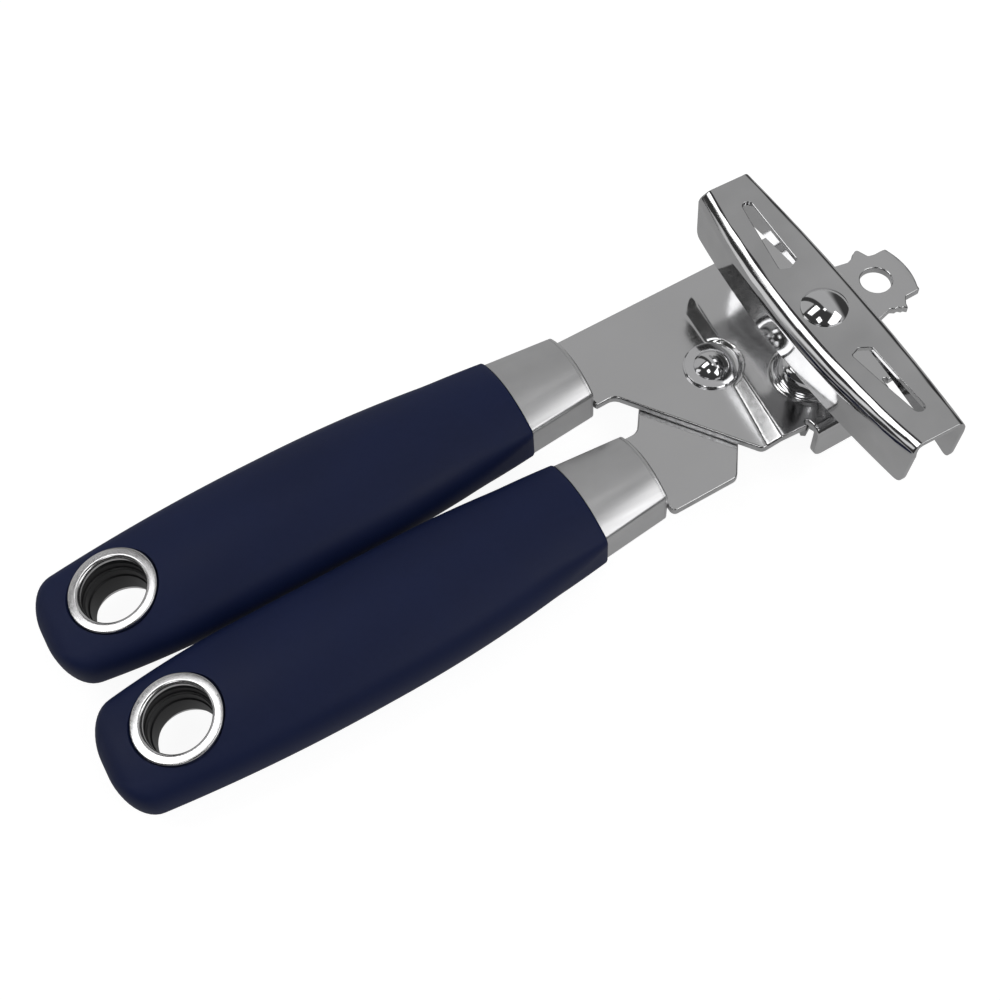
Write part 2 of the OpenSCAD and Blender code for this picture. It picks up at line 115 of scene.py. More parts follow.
def stretched(nt, scale):
    """The object's own coordinates, scaled along each axis."""
    at = put(nt, "ShaderNodeTexCoord")
    mapping = put(nt, "ShaderNodeMapping")
    mapping.inputs["Scale"].default_value = scale
    nt.links.new(at.outputs["Object"], mapping.inputs["Vector"])
    return mapping.outputs["Vector"]


def noise(nt, vector, scale, detail):
    n = put(nt, "ShaderNodeTexNoise")
    n.inputs["Scale"].default_value = scale
    n.inputs["Detail"].default_value = detail
    n.inputs["Roughness"].default_value = 0.55
    nt.links.new(vector, n.inputs["Vector"])
    return n.outputs["Fac"]


def ramp(nt, fac, low, high):
    """Spreads the range where most of a noise lies, 0.3 to 0.7, over low to high."""
    n = put(nt, "ShaderNodeMapRange")
    n.inputs["From Min"].default_value = 0.3
    n.inputs["From Max"].default_value = 0.7
    n.inputs["To Min"].default_value = low
    n.inputs["To Max"].default_value = high
    nt.links.new(fac, n.inputs["Value"])
    return n.outputs["Result"]


def tint(nt, fac, dark, light, socket):
    n = put(nt, "ShaderNodeMix", data_type="RGBA")
    n.inputs["A"].default_value = (*dark, 1)
    n.inputs["B"].default_value = (*light, 1)
    nt.links.new(fac, n.inputs["Factor"])
    nt.links.new(n.outputs["Result"], socket)


def bump(nt, shader, height, strength, distance, under=None):
    n = put(nt, "ShaderNodeBump")
    if under:
        nt.links.new(under, n.inputs["Normal"])
    n.inputs["Strength"].default_value = strength
    n.inputs["Distance"].default_value = distance
    nt.links.new(height, n.inputs["Height"])
    nt.links.new(n.outputs["Normal"], shader.inputs["Normal"])
    return n.outputs["Normal"]


FINE_GRAIN_HEIGHT = 0.0002
SWELL_SCALE = 55


def metal(name, dark, light, rough, spread, grain, grain_scale, grain_bump, cloud_scale, wave=0.0):
    """Metal with cloudy colour and gloss, a fine grain and, with wave, a faint swell in metres."""
    m, nt, sh = new_material(name)
    sh.inputs["Metallic"].default_value = 1.0
    plain = stretched(nt, (1, 1, 1))
    lines = noise(nt, stretched(nt, grain), grain_scale, 5)
    cloud = noise(nt, plain, cloud_scale, 3)
    tint(nt, ramp(nt, cloud, 0, 1), dark, light, sh.inputs["Base Color"])
    slow = ramp(nt, cloud, rough - spread * 0.4, rough + spread * 0.4)
    mixed = math_node(nt, "ADD", ramp(nt, lines, -spread, spread), slow)
    nt.links.new(mixed, sh.inputs["Roughness"])
    swell = bump(nt, sh, noise(nt, plain, SWELL_SCALE, 1), 1.0, wave) if wave else None
    bump(nt, sh, lines, grain_bump, FINE_GRAIN_HEIGHT, swell)
    return m


def plastic(name, dark, light, rough, spread, grain_scale, grain_bump):
    m, nt, sh = new_material(name)
    plain = stretched(nt, (1, 1, 1))
    cloud = noise(nt, plain, 45, 3)
    grain = noise(nt, plain, grain_scale, 3)
    tint(nt, ramp(nt, cloud, 0, 1), dark, light, sh.inputs["Base Color"])
    nt.links.new(ramp(nt, cloud, rough - spread, rough + spread), sh.inputs["Roughness"])
    bump(nt, sh, grain, grain_bump, 0.0003)
    return m


navy = plastic("grip_navy", (0.0072, 0.0140, 0.059), (0.0090, 0.0172, 0.071), 0.55, 0.05, 2600, 0.10)
navy.node_tree.nodes["Principled BSDF"].inputs["Specular IOR Level"].default_value = 0.26
black = plastic("black_plastic", (0.006, 0.006, 0.007), (0.010, 0.010, 0.012), 0.42, 0.05, 2200, 0.08)
plate_steel = metal("plate_steel", (0.62, 0.62, 0.625), (0.66, 0.66, 0.665), 0.12, 0.025,
                    (1, 1, 1), 700, 0.012, 30, 0.00012)
key_steel = metal("key_chrome", (0.50, 0.50, 0.505), (0.62, 0.62, 0.625), 0.085, 0.02,
                  (1, 1, 1), 600, 0.01, 45, 0.00016)
rivet_steel = metal("rivet_chrome", (0.70, 0.70, 0.71), (0.74, 0.74, 0.75), 0.07, 0.02,
                    (1, 1, 1), 500, 0.01, 80)
edge_steel = metal("sheared_edge", (0.50, 0.50, 0.505), (0.66, 0.66, 0.665), 0.34, 0.07,
                   (1, 1, 0.06), 1600, 0.25, 200)
brushed = metal("ferrule_brushed", (0.58, 0.58, 0.585), (0.66, 0.66, 0.665), 0.34, 0.05,
                (0.04, 1, 1), 700, 0.05, 70)
satin = metal("ring_satin", (0.66, 0.655, 0.66), (0.72, 0.715, 0.72), 0.22, 0.04,
              (1, 1, 1), 1500, 0.03, 120)
gear_steel = metal("gear_steel", (0.36, 0.36, 0.365), (0.46, 0.46, 0.465), 0.34, 0.06,
                   (1, 1, 1), 900, 0.06, 150)
wheel_steel = metal("wheel_steel", (0.48, 0.48, 0.485), (0.58, 0.58, 0.585), 0.22, 0.05,
                    (1, 1, 1), 1200, 0.05, 150)


# ---------------------------------------------------------------- mesh tools
NEARLY_STRAIGHT = 155


def arc(cx, cy, r, a0, a1, n):
    return [(cx + r * math.cos(math.radians(a0 + (a1 - a0) * i / n)),
             cy + r * math.sin(math.radians(a0 + (a1 - a0) * i / n))) for i in range(n + 1)]


def smooth(t):
    t = min(max(t, 0.0), 1.0)
    return t * t * (3 - 2 * t)


def finish_mesh(bm, name, material, body, replaced, sharp=35, weighted=True, edge=None):
    """Puts a mesh laid out in millimetres in its place, on its body, in place of CAD nodes."""
    bmesh.ops.recalc_face_normals(bm, faces=bm.faces)
    me = bpy.data.meshes.new(name)
    bm.to_mesh(me)
    bm.free()
    me.transform(Matrix.Translation(ORIGIN) @ Matrix.Scale(MM, 4))
    me.materials.append(material)
    if edge:
        me.materials.append(edge)
    me.shade_smooth()
    me.set_sharp_from_angle(angle=math.radians(sharp))
    ob = bpy.data.objects.new(name, me)
    bpy.context.scene.collection.objects.link(ob)
    if weighted:
        mod = ob.modifiers.new("normals", "WEIGHTED_NORMAL")
        mod.keep_sharp = True
    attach(ob, body)
    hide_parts(*replaced)


def round_corners(points, r, n=4):
    """Fillets every corner between a line's two ends, but for those that are nearly straight."""
    out = [points[0]]
    for a, b, c in zip(points, points[1:], points[2:]):
        va, vc = Vector(a) - Vector(b), Vector(c) - Vector(b)
        la, lc = va.length, vc.length
        if la < 1e-6 or lc < 1e-6:
            continue
        angle = va.angle(vc)
        if angle > math.radians(NEARLY_STRAIGHT):
            out.append(b)
            continue
        cut = min(r / math.tan(angle / 2), la * 0.45, lc * 0.45)
        p, q = Vector(b) + va / la * cut, Vector(b) + vc / lc * cut
        for i in range(n + 1):
            t = i / n
            v = p * (1 - t) ** 2 + Vector(b) * 2 * t * (1 - t) + q * t * t
            out.append((v.x, v.y))
    out.append(points[-1])
    return out


def lathe_bm(profile, centre=(0, 0, 0), turn=None, n=128, closed=False):
    """Turns a profile of (radius, height) points round its axis."""
    bm = bmesh.new()
    spot = Matrix.Translation(Vector(centre)) @ (turn or Matrix.Identity(4))
    rings = []
    for r, z in profile:
        if r < 1e-4:
            rings.append([bm.verts.new(spot @ Vector((0, 0, z)))])
        else:
            rings.append([bm.verts.new(spot @ Vector((r * math.cos(2 * math.pi * i / n),
                                                      r * math.sin(2 * math.pi * i / n), z)))
                          for i in range(n)])
    pairs = list(zip(rings, rings[1:]))
    if closed:
        pairs.append((rings[-1], rings[0]))
    for a, b in pairs:
        for i in range(n):
            k = (i + 1) % n
            if len(a) == 1 and len(b) == 1:
                continue
            if len(a) == 1:
                bm.faces.new((a[0], b[i], b[k]))
            elif len(b) == 1:
                bm.faces.new((a[i], a[k], b[0]))
            else:
                bm.faces.new((a[i], a[k], b[k], b[i]))
    return bm


def lathe(name, profile, centre, material, body, replaced, n=128, r=0.12, closed=False):
    """A turned piece whose corners are rounded by r."""
    if closed:
        k = len(profile)
        ring = [profile[(i - 1) % k] for i in range(k + 2)]
        rounded = round_corners(ring, r)[1:-1]
    else:
        rounded = round_corners(profile, r)
    finish_mesh(lathe_bm(rounded, centre, None, n, closed), name, material, body,
                replaced, weighted=False)


def sheet_bm(outline, holes, thick, bevel):
    """A flat sheet with rounded edges, its top at z = 0, from an outline and its holes."""
    cu = bpy.data.curves.new("outline", "CURVE")
    cu.dimensions = "2D"
    cu.fill_mode = "BOTH"
    cu.extrude = thick / 2 - bevel
    cu.bevel_depth = bevel
    cu.bevel_resolution = 3
    cu.offset = -bevel
    for loop in [outline, *holes]:
        sp = cu.splines.new("POLY")
        sp.points.add(len(loop) - 1)
        for p, (x, y) in zip(sp.points, loop):
            p.co = (x, y, 0, 1)
        sp.use_cyclic_u = True
    ob = bpy.data.objects.new("outline", cu)
    bpy.context.scene.collection.objects.link(ob)
    bpy.context.view_layer.update()
    me = bpy.data.meshes.new_from_object(ob.evaluated_get(bpy.context.evaluated_depsgraph_get()))
    bm = bmesh.new()
    bm.from_mesh(me)
    bpy.data.objects.remove(ob)
    bpy.data.curves.remove(cu)
    bpy.data.meshes.remove(me)
    bmesh.ops.remove_doubles(bm, verts=bm.verts, dist=1e-4)
    bmesh.ops.translate(bm, verts=bm.verts, vec=(0, 0, -thick / 2))
    return bm


def mark_edges(bm):
    """Gives the upright cut faces of a flat sheet the second material."""
    bm.normal_update()
    for f in bm.faces:
        if abs(f.normal.z) < 0.3:
            f.material_index = 1


def cut(bm, axis, values):
    """Adds straight edges across a sheet, so that it can bend there."""
    no = Vector((1, 0, 0)) if axis == "x" else Vector((0, 1, 0))
    for v in values:
        bmesh.ops.bisect_plane(bm, geom=bm.verts[:] + bm.edges[:] + bm.faces[:], dist=1e-5,
                               plane_co=no * v, plane_no=no)


def steps(a, b, step):
    """Even steps from a to b, as near to step as they divide."""
    n = max(1, round((b - a) / step))
    return [a + (b - a) * i / n for i in range(n + 1)]


def circle(cx, cy, r, n=72):
    return arc(cx, cy, r, 0, 360 - 360 / n, n - 1)


# ---------------------------------------------------------------- handles
# Sections are (y, z) loops round a handle's middle height, mirrored in y for the rear handle.
TAIL = local(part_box("front_grip")[0]).x
BACK = local(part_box("front_ferrule")[0]).x
FRONT = local(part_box("front_ferrule")[1]).x
HANDLE_Y, GRIP_W, GRIP_H, FERRULE_H = 16.1, 15.7, 9.6, 7.8
SIDE = 4.4
HANG_X = local(middle("front_hang_bush")).x

# where the grip is widest, where its inner side runs straight, and where it is thickest
WIDE_FROM, WIDE_TO = -103, -97
STRAIGHT_FROM, STRAIGHT_TO = -120, -85
THICK_X = -96
OUTER_CURVE_FRONT, OUTER_CURVE_BACK = 0.0018, 0.0013
INNER_CURVE_FRONT, INNER_CURVE_BACK = 0.002, 0.0027
# how far the thickness falls, and over what length, towards the ferrule and the tail
FERRULE_STEP, FRONT_RUN = 0.25, 51.5
TAIL_FALL, BACK_RUN = 4.4, 60
TAIL_ROUND, TAIL_INSET, EDGE_ROUND = 6.5, 10, 4.5
CORNER_X, CORNER_R = -60, 4.6

FERRULE_Y_BACK, FERRULE_Y_FRONT = 15.1, 14.95
FERRULE_W_BACK, FERRULE_W_FRONT = 10.9, 9.4
CORNER_POINTS = 14
BORE_R = 8.64
RING_SINK, FACE_TILT = 0.35, 5.7


def section(yc, w, hs, h, r):
    """A handle's cross-section: flat sides, rounded corners and crowned faces."""
    def crown(y):
        return hs + (h - hs) * (1 - (y / w) ** 2)
    n = CORNER_POINTS
    q = []
    z1 = crown(w - r)
    for i in range(n + 1):
        t = i / n
        a, b, c = (1 - t) ** 2, 2 * t * (1 - t), t * t
        q.append((a * w + b * w + c * (w - r),
                  a * max(hs - r, 0.3) + b * (hs + r * 0.15) + c * z1))
    for i in range(1, n + 1):
        y = (w - r) * (1 - i / n)
        q.append((y, crown(y)))
    top = q[:-1] + [(-y, z) for y, z in reversed(q)]
    low = [(-y, -z) for y, z in top]
    side = [(-w, top[-1][1] * (1 - k / 2)) for k in (1, 2, 3)]
    other = [(-y, -z) for y, z in side]
    return [(yc + y, z) for y, z in top + side + low + other]


def grip_outer(x):
    d = x - WIDE_TO if x > WIDE_TO else x - WIDE_FROM if x < WIDE_FROM else 0
    return HANDLE_Y + GRIP_W - (OUTER_CURVE_FRONT if x > WIDE_TO else OUTER_CURVE_BACK) * d * d


def grip_inner(x):
    if x > STRAIGHT_TO:
        return HANDLE_Y - GRIP_W + INNER_CURVE_FRONT * (x - STRAIGHT_TO) ** 2
    return HANDLE_Y - GRIP_W + INNER_CURVE_BACK * min(x - STRAIGHT_FROM, 0) ** 2


def grip_half(x):
    """Half of the grip's height at its middle."""
    if x > THICK_X:
        return GRIP_H - (GRIP_H - FERRULE_H - FERRULE_STEP) * ((x - THICK_X) / FRONT_RUN) ** 2
    return GRIP_H - TAIL_FALL * ((x - THICK_X) / BACK_RUN) ** 2


def grip_section(x):
    d = x - TAIL
    e = min(d / TAIL_ROUND, 1.0)
    inset = TAIL_INSET * (1 - math.sqrt(max(1 - (1 - e) ** 2, 0)))
    thin = 0
    if d < EDGE_ROUND:
        thin = (EDGE_ROUND - math.sqrt(max(EDGE_ROUND ** 2 - (EDGE_ROUND - d) ** 2, 0))) * 0.9
    yo, yi = grip_outer(x) - inset, grip_inner(x) + inset
    w = (yo - yi) / 2
    corner = 1.2 + 3.4 * (BACK - x) / (BACK - CORNER_X) if x > CORNER_X else CORNER_R
    return section((yo + yi) / 2, w, max(SIDE - thin * 0.8, 1), grip_half(x) - thin,
                   min(corner, w * 0.6))


def inset_loop(loop, d):
    """Pulls a section in by d, for rounded end faces."""
    cy = sum(p[0] for p in loop) / len(loop)
    hw = max(p[0] for p in loop) - cy
    hh = max(p[1] for p in loop)
    return [(cy + (y - cy) * (hw - d) / hw, z * (hh - d) / hh) for y, z in loop]


def sweep(loops, side, z_mid):
    """Skins (x, loop) stations; side mirrors it for the rear handle."""
    bm = bmesh.new()
    rings = [[bm.verts.new((x, side * y, z + z_mid)) for y, z in loop] for x, loop in loops]
    n = len(rings[0])
    for a, b in zip(rings, rings[1:]):
        for i in range(n):
            k = (i + 1) % n
            bm.faces.new((a[i], a[k], b[k], b[i]))
    bm.faces.new(rings[0])
    bm.faces.new(rings[-1])
    return bm


def boolean_cut(ob, cutters):
    """The mesh of ob less the cutters; all of these objects are removed."""
    for c in cutters:
        mod = ob.modifiers.new("cut", "BOOLEAN")
        mod.operation = "DIFFERENCE"
        mod.solver = "EXACT"
        mod.object = c
    bpy.context.view_layer.update()
    me = bpy.data.meshes.new_from_object(ob.evaluated_get(bpy.context.evaluated_depsgraph_get()))
    bm = bmesh.new()
    bm.from_mesh(me)
    bpy.data.meshes.remove(me)
    for o in [ob, *cutters]:
        bpy.data.objects.remove(o)
    return bm


def plain_object(bm, name):
    bmesh.ops.recalc_face_normals(bm, faces=bm.faces)
    me = bpy.data.meshes.new(name)
    bm.to_mesh(me)
    bm.free()
    ob = bpy.data.objects.new(name, me)
    bpy.context.scene.collection.objects.link(ob)
    return ob


def hang_face(side, face, z_mid):
    """Where a ring sits: on the grip's face, tilted with it."""
    tilt = Matrix.Rotation(-math.radians(FACE_TILT), 4, "Y")
    m = Matrix.Translation((HANG_X, HANDLE_Y, grip_half(HANG_X) - RING_SINK)) @ tilt
    if face < 0:
        m = Matrix.Scale(-1, 4, Vector((0, 0, 1))) @ m
    if side < 0:
        m = Matrix.Scale(-1, 4, Vector((0, 1, 0))) @ m
    return Matrix.Translation((0, 0, z_mid)) @ m


def grip(tag, side, z_mid, body):
    """The moulded grip, with its bore and a seat for a ring on each face."""
    end, edge = BACK - 0.02, 0.6
    xs = [TAIL + TAIL_ROUND * (1 - math.cos(math.radians(a)))
          for a in (0, 4, 9, 14, 20, 27, 34, 42, 50, 58, 66, 74, 82, 90)]
    loops = [(x, grip_section(x)) for x in xs + steps(TAIL + 7.4, end - edge, 1.5)]
    last = grip_section(end)
    for a in (20, 45, 70, 90):
        s, c = math.sin(math.radians(a)), math.cos(math.radians(a))
        loops.append((end - edge + edge * s, inset_loop(last, edge * (1 - c))))
    whole = plain_object(sweep(loops, side, z_mid), "grip_work")
    bore = [(0, -20), (BORE_R, -20), (BORE_R, 20), (0, 20)]
    cuts = [plain_object(lathe_bm(bore, (HANG_X, side * HANDLE_Y, z_mid), n=96), "bore_cut")]
    seat = [(0, -1.2), (9.92, -1.2), (9.92, -0.35), (10.1, 0.1), (10.8, 5), (0, 5)]
    for face in (1, -1):
        turn = hang_face(side, face, z_mid)
        cuts.append(plain_object(lathe_bm(seat, turn=turn, n=96), "seat_cut"))
    finish_mesh(boolean_cut(whole, cuts), tag + "_grip_skin", navy, body, [tag + "_grip"],
                sharp=32, weighted=False)


def ferrule_section(x):
    t = (x - BACK) / (FRONT - BACK)
    yc = FERRULE_Y_BACK + (FERRULE_Y_FRONT - FERRULE_Y_BACK) * t
    w = FERRULE_W_BACK + (FERRULE_W_FRONT - FERRULE_W_BACK) * t
    return section(yc, w, SIDE, FERRULE_H, 0.9)


def ferrule(tag, side, z_mid, body):
    """A thin drawn ferrule with a groove and a rolled rim at its front."""
    rim = 0.55
    loops = [(x, ferrule_section(x)) for x in steps(BACK + 0.02, FRONT - 1.1, 1.2)]
    for behind in (1.03, 0.85):
        loops.append((FRONT - behind, inset_loop(ferrule_section(FRONT - behind), 0.1)))
    loops.append((FRONT - 0.78, ferrule_section(FRONT - 0.78)))
    front = ferrule_section(FRONT - 0.5)
    for a in (15, 35, 55, 75, 90, 115, 140, 165, 180):
        s, c = math.sin(math.radians(a)), math.cos(math.radians(a))
        loops.append((FRONT - rim + rim * s, inset_loop(front, rim * (1 - c))))
    loops.append((FRONT - 1.2, inset_loop(front, 1.15)))
    finish_mesh(sweep(loops, side, z_mid), tag + "_ferrule_shell", brushed, body,
                [tag + "_ferrule"], sharp=50, weighted=False)


def hang_rings(tag, side, z_mid, body):
    """A satin ring with a turned-in lip on each face."""
    ring = [(7.25, -1.15), (9.7, -1.15), (9.7, -0.35)] + arc(9.35, -0.25, 0.33, 20, 90, 4)
    ring += [(8.7, 0.14)] + arc(8.05, -0.62, 0.78, 82, 180, 9) + [(7.25, -0.9)]
    for face, word in ((1, "_hang_ring"), (-1, "_back_ring")):
        turn = hang_face(side, face, z_mid)
        finish_mesh(lathe_bm(ring, turn=turn, n=128, closed=True), tag + word + "_lip", satin,
                    body, [tag + word], sharp=40, weighted=False)


def hang_sleeve(tag, side, z_mid, body):
    """The black stepped sleeve between the rings."""
    hb = grip_half(HANG_X) - 2.62
    sleeve = [(6.6, -hb), (8.6, -hb), (8.6, hb), (7.75, hb), (7.5, hb - 0.3), (7.45, hb - 2.0),
              (6.95, hb - 2.2), (6.9, hb - 4.2), (6.62, hb - 4.5), (6.6, -hb + 3.0)]
    lathe(tag + "_hang_sleeve", sleeve, (HANG_X, side * HANDLE_Y, z_mid), black, body,
          [tag + "_hang_bush"], n=96, closed=True)


for handle in (("front", 1, front_mid, "front_arm"), ("rear", -1, rear_mid, "rear_arm")):
    grip(*handle)
    ferrule(*handle)
    hang_rings(*handle)
    hang_sleeve(*handle)

# ---------------------------------------------------------------- front plate
# TANG is the strip that runs into a grip: its end, and its inner and outer sides.
TANG_END, TANG_INNER, TANG_OUTER = -62, 9.5, 20.4
SHOULDER = FRONT + 0.15
HEAD_X, EDGE_Y = 35.5, -24.6
RISE, JAW_FOOT, RAMP_Y, RAMP_TURN = 1.3, 0.55, 18.8, 15.6
SEAT_Z, SEAT_R = 1.35, 8.4
GUIDE_X0, GUIDE_X1, GUIDE_Y, GUIDE_CORNER = 9.2, 29.4, -25.4, 2.2
GUIDE_LOW = local(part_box("front_plate")[0]).z
BEND_R = 2.6
RIVET_HOLE_R, SHAFT_HOLE_R = 3.02, 5.01
FRONT_EDGE_ROUND = 0.45


def jaw_z(y):
    return JAW_FOOT + (RISE - JAW_FOOT) * (RAMP_Y - y) / (RAMP_Y - EDGE_Y)


def slope(t, r=0.09):
    """A straight slope from 0 to 1 with a small round at each end."""
    if t > 0.5:
        return 1 - slope(1 - t, r)
    return 0.0 if t < -r else t if t > r else (t + r) ** 2 / (4 * r)


def fold(x, y):
    """Height of the front plate's face: flat, ramp, raised jaw and a raised round seat."""
    q = max(RAMP_TURN - y, 0)
    foot, top = 3.3 - 0.055 * q - 0.0019 * q * q, 7.4 - 0.13 * (RAMP_Y - y)
    if y > RAMP_TURN:
        foot += 1.1 * (y - RAMP_TURN)
    h = jaw_z(y) * slope((x - foot) / max(top - foot, 1.2)) * slope((RAMP_Y + 1 - y) / 2.4)
    # the face stays flat under the pivot washer
    h *= smooth((math.hypot(x, y) - 6.45) / 0.8)
    d = math.hypot(x - drive.x, y - drive.y)
    return h + (SEAT_Z - h) * (1 - smooth((d - SEAT_R + 0.3) / 0.9))


def front_outline():
    """The front plate as a flat sheet, with the edge guide unrolled."""
    guide_drop = BEND_R * math.pi / 2 + (jaw_z(GUIDE_Y) - BEND_R - GUIDE_LOW)
    guide_y = GUIDE_Y - guide_drop + GUIDE_CORNER
    out = [(TANG_END, TANG_INNER), (SHOULDER, TANG_INNER), (SHOULDER, 5.2)]
    out += arc(SHOULDER + 0.5, 5.3, 0.5, 180, 250, 3)
    out += arc(-24.6, 2.0, 2.9, 85, 36, 10) + arc(-2.0, -22.2, 2.0, 208, 252, 6)
    out += [(1.9, EDGE_Y), (7.6, -24.95)] + arc(7.7, -24.5, 0.5, -80, -5, 4)
    out += arc(8.65, -24.2, 0.35, 170, 10, 6) + [(GUIDE_X0 - 0.05, -25.0), (GUIDE_X0, GUIDE_Y)]
    out += arc(GUIDE_X0 + GUIDE_CORNER, guide_y, GUIDE_CORNER, 180, 270, 8)
    out += arc(GUIDE_X1 - GUIDE_CORNER, guide_y, GUIDE_CORNER, 270, 360, 8)
    out += [(GUIDE_X1, GUIDE_Y)] + arc(GUIDE_X1 + 0.5, -24.2, 0.35, 170, 10, 6)
    out += [(GUIDE_X1 + 1.0, -24.7)] + arc(HEAD_X - 2.0, -22.6, 2.0, -90, 0, 6)
    out += arc(HEAD_X - 2.0, 22.4, 2.0, 0, 90, 6)
    out += [(-24, 24.55)] + arc(SHOULDER + 0.6, 23.95, 0.6, 90, 180, 4)
    return out + [(SHOULDER, TANG_OUTER), (TANG_END, TANG_OUTER)]


def front_plate():
    holes = [circle(0, 0, RIVET_HOLE_R), circle(drive.x, drive.y, SHAFT_HOLE_R)]
    bm = sheet_bm(front_outline(), holes, PLATE_T, FRONT_EDGE_ROUND)
    mark_edges(bm)
    cut(bm, "x", steps(-8, 29.6, 0.4) + [31, 33, 35])
    cut(bm, "y", steps(EDGE_Y, TANG_OUTER, 0.4) + steps(GUIDE_Y - 4.09, GUIDE_Y, 0.4))
    cut(bm, "y", [GUIDE_Y - 6])
    for v in bm.verts:
        x, y, z = v.co
        v.co.z = z + fold(x, max(y, GUIDE_Y))
        if y < GUIDE_Y:
            s, rad = GUIDE_Y - y, BEND_R + z
            theta = min(s / BEND_R, math.pi / 2)
            top = fold(x, GUIDE_Y) - BEND_R
            v.co.y = GUIDE_Y - rad * math.sin(theta)
            v.co.z = top + rad * math.cos(theta) - max(s - BEND_R * math.pi / 2, 0)
    finish_mesh(bm, "front_plate_pressing", plate_steel, "front_arm", ["front_plate"],
                sharp=40, edge=edge_steel)


front_plate()

# ---------------------------------------------------------------- rear plate
TIP = local(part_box("rear_plate")[1]).x
TIP_R, TIP_Y = 16.0, 1.6
TIP_HOLE, TIP_HOLE_R = (47.7, 1.0), 3.7
TIP_BEND, TIP_FALL = 53.9, 0.11
PIVOT_HOLE_R, STUD_HOLE_R = 3.06, 3.01
REAR_EDGE_ROUND = 0.34


def rear_outline():
    out = [(TANG_END, -TANG_INNER), (TANG_END, -TANG_OUTER), (SHOULDER, -TANG_OUTER)]
    out += arc(SHOULDER + 1.2, -25.0, 1.2, 180, 270, 6)
    out += [(-13.5, -26.2)] + arc(-12.0, -24.2, 2.0, 270, 323, 6)
    out += [(-6.3, -19.8), (2.0, -8.4), (6.0, -7.4), (26, -7.4), (36, -8.9)]
    # the bottle opener's notched side, the tip's end and its plainer side
    out += round_corners([(41.3, -8.5), (45.2, -7.5), (46.2, -8.2), (47.0, -8.1), (47.6, -8.8),
                          (48.1, -8.7), (48.9, -9.6), (49.4, -8.1), (50.6, -6.55), (54.7, -6.5),
                          (54.9, -5.35)], 0.5, 5)
    out += arc(TIP - TIP_R, TIP_Y, TIP_R, -24, 18, 14)
    out += round_corners([(55.75, 6.6), (55.4, 7.55), (52.3, 7.5), (50.7, 7.85), (49.5, 11.0),
                          (47.6, 10.1), (46.9, 9.4)], 0.7, 5)
    out += [(46.4, 9.2), (45.4, 8.9), (42, 9.6), (36, 9.9), (31, 14.5), (22, 19.5)]
    out += [(2, 21.5)] + arc(-2.5, 19.5, 2.0, 85, 145, 5) + arc(-24.6, -2.0, 2.9, -36, -85, 8)
    return out + arc(SHOULDER + 0.5, -5.3, 0.5, 110, 180, 3) + [(SHOULDER, -TANG_INNER)]


def rear_plate():
    holes = [circle(0, 0, PIVOT_HOLE_R), circle(cutter.x, cutter.y, STUD_HOLE_R)]
    holes.append(circle(*TIP_HOLE, TIP_HOLE_R))
    bm = sheet_bm(rear_outline(), holes, PLATE_T, REAR_EDGE_ROUND)
    mark_edges(bm)
    cut(bm, "x", [TIP_BEND, 54.8, 55.6])
    for v in bm.verts:
        v.co.z += rear_hi - TIP_FALL * max(v.co.x - TIP_BEND, 0)
    finish_mesh(bm, "rear_plate_pressing", plate_steel, "rear_arm", ["rear_plate"],
                sharp=40, edge=edge_steel)


rear_plate()

# ---------------------------------------------------------------- turning key
# u runs along the key and s round its sheet, from the top's middle line down over each side.
KEY_T, KEY_EDGE_ROUND = 1.25, 0.22
KEY_HALF, KEY_LOW, KEY_TOP = 39.0, 13.3, 24.5
KEY_W, KEY_NARROWING, KEY_RISE = 9.2, 2.8, 2.1
KEY_HOLE_R = 3.0
TURN = Matrix.Translation((drive.x, drive.y, 0)) @ Matrix.Rotation(math.radians(88), 4, "Z")


def key_shape(u):
    """The key's half width, its top and the radius of its side bends."""
    e = (u / KEY_HALF) ** 2
    return KEY_W - KEY_NARROWING * e, KEY_TOP + KEY_RISE * e, 3.0 + 0.8 * (1 - e)


def bend_ratio(s):
    """The far side's bend is tighter."""
    return 0.6 if s < 0 else 1.0


def bottom_s(u, side):
    w, z, r = key_shape(u)
    r *= bend_ratio(side)
    return w - r + r * math.pi / 2 + (z - r - KEY_LOW)


def key_point(u, s, d):
    """A point of the bent sheet, d below its outer face."""
    w, z, r = key_shape(u)
    sign, a = (1 if s >= 0 else -1), abs(s)
    r *= bend_ratio(s)
    f = w - r
    if a <= f:
        return Vector((u, s, z - d))
    if a <= f + r * math.pi / 2:
        p = (a - f) / r
        rr = r - d
        return Vector((u, sign * (f + rr * math.sin(p)), z - r + rr * math.cos(p)))
    zz = z - r - (a - f - r * math.pi / 2)
    return Vector((u, sign * (w - d), zz))


def end_u(s):
    """Where the key's sheet ends, along its length."""
    a, b = abs(s), bottom_s(KEY_HALF, s)
    if a < 8:
        return KEY_HALF - 0.6 * min((8 - a) / 3, 1)
    return KEY_HALF - 0.7 * (a - 8) / (b - 8)


def key_outline():
    us = steps(-KEY_HALF + 2.6, KEY_HALF - 2.6, 0.8)
    far, near = bottom_s(KEY_HALF, -1), bottom_s(KEY_HALF, 1)
    across = [-far + 2 + (far + near - 4) * i / 24 for i in range(25)]
    x, r = KEY_HALF - 2.3, 1.6
    out = [(u, -bottom_s(u, -1)) for u in us] + arc(x, -far + r, r, -80, -5, 6)
    out += [(end_u(s), s) for s in across] + arc(x, near - r, r, 5, 80, 6)
    out += [(u, bottom_s(u, 1)) for u in reversed(us)] + arc(-x, near - r, r, 100, 175, 6)
    out += [(-end_u(s), s) for s in reversed(across)] + arc(-x, -far + r, r, 185, 260, 6)
    return out


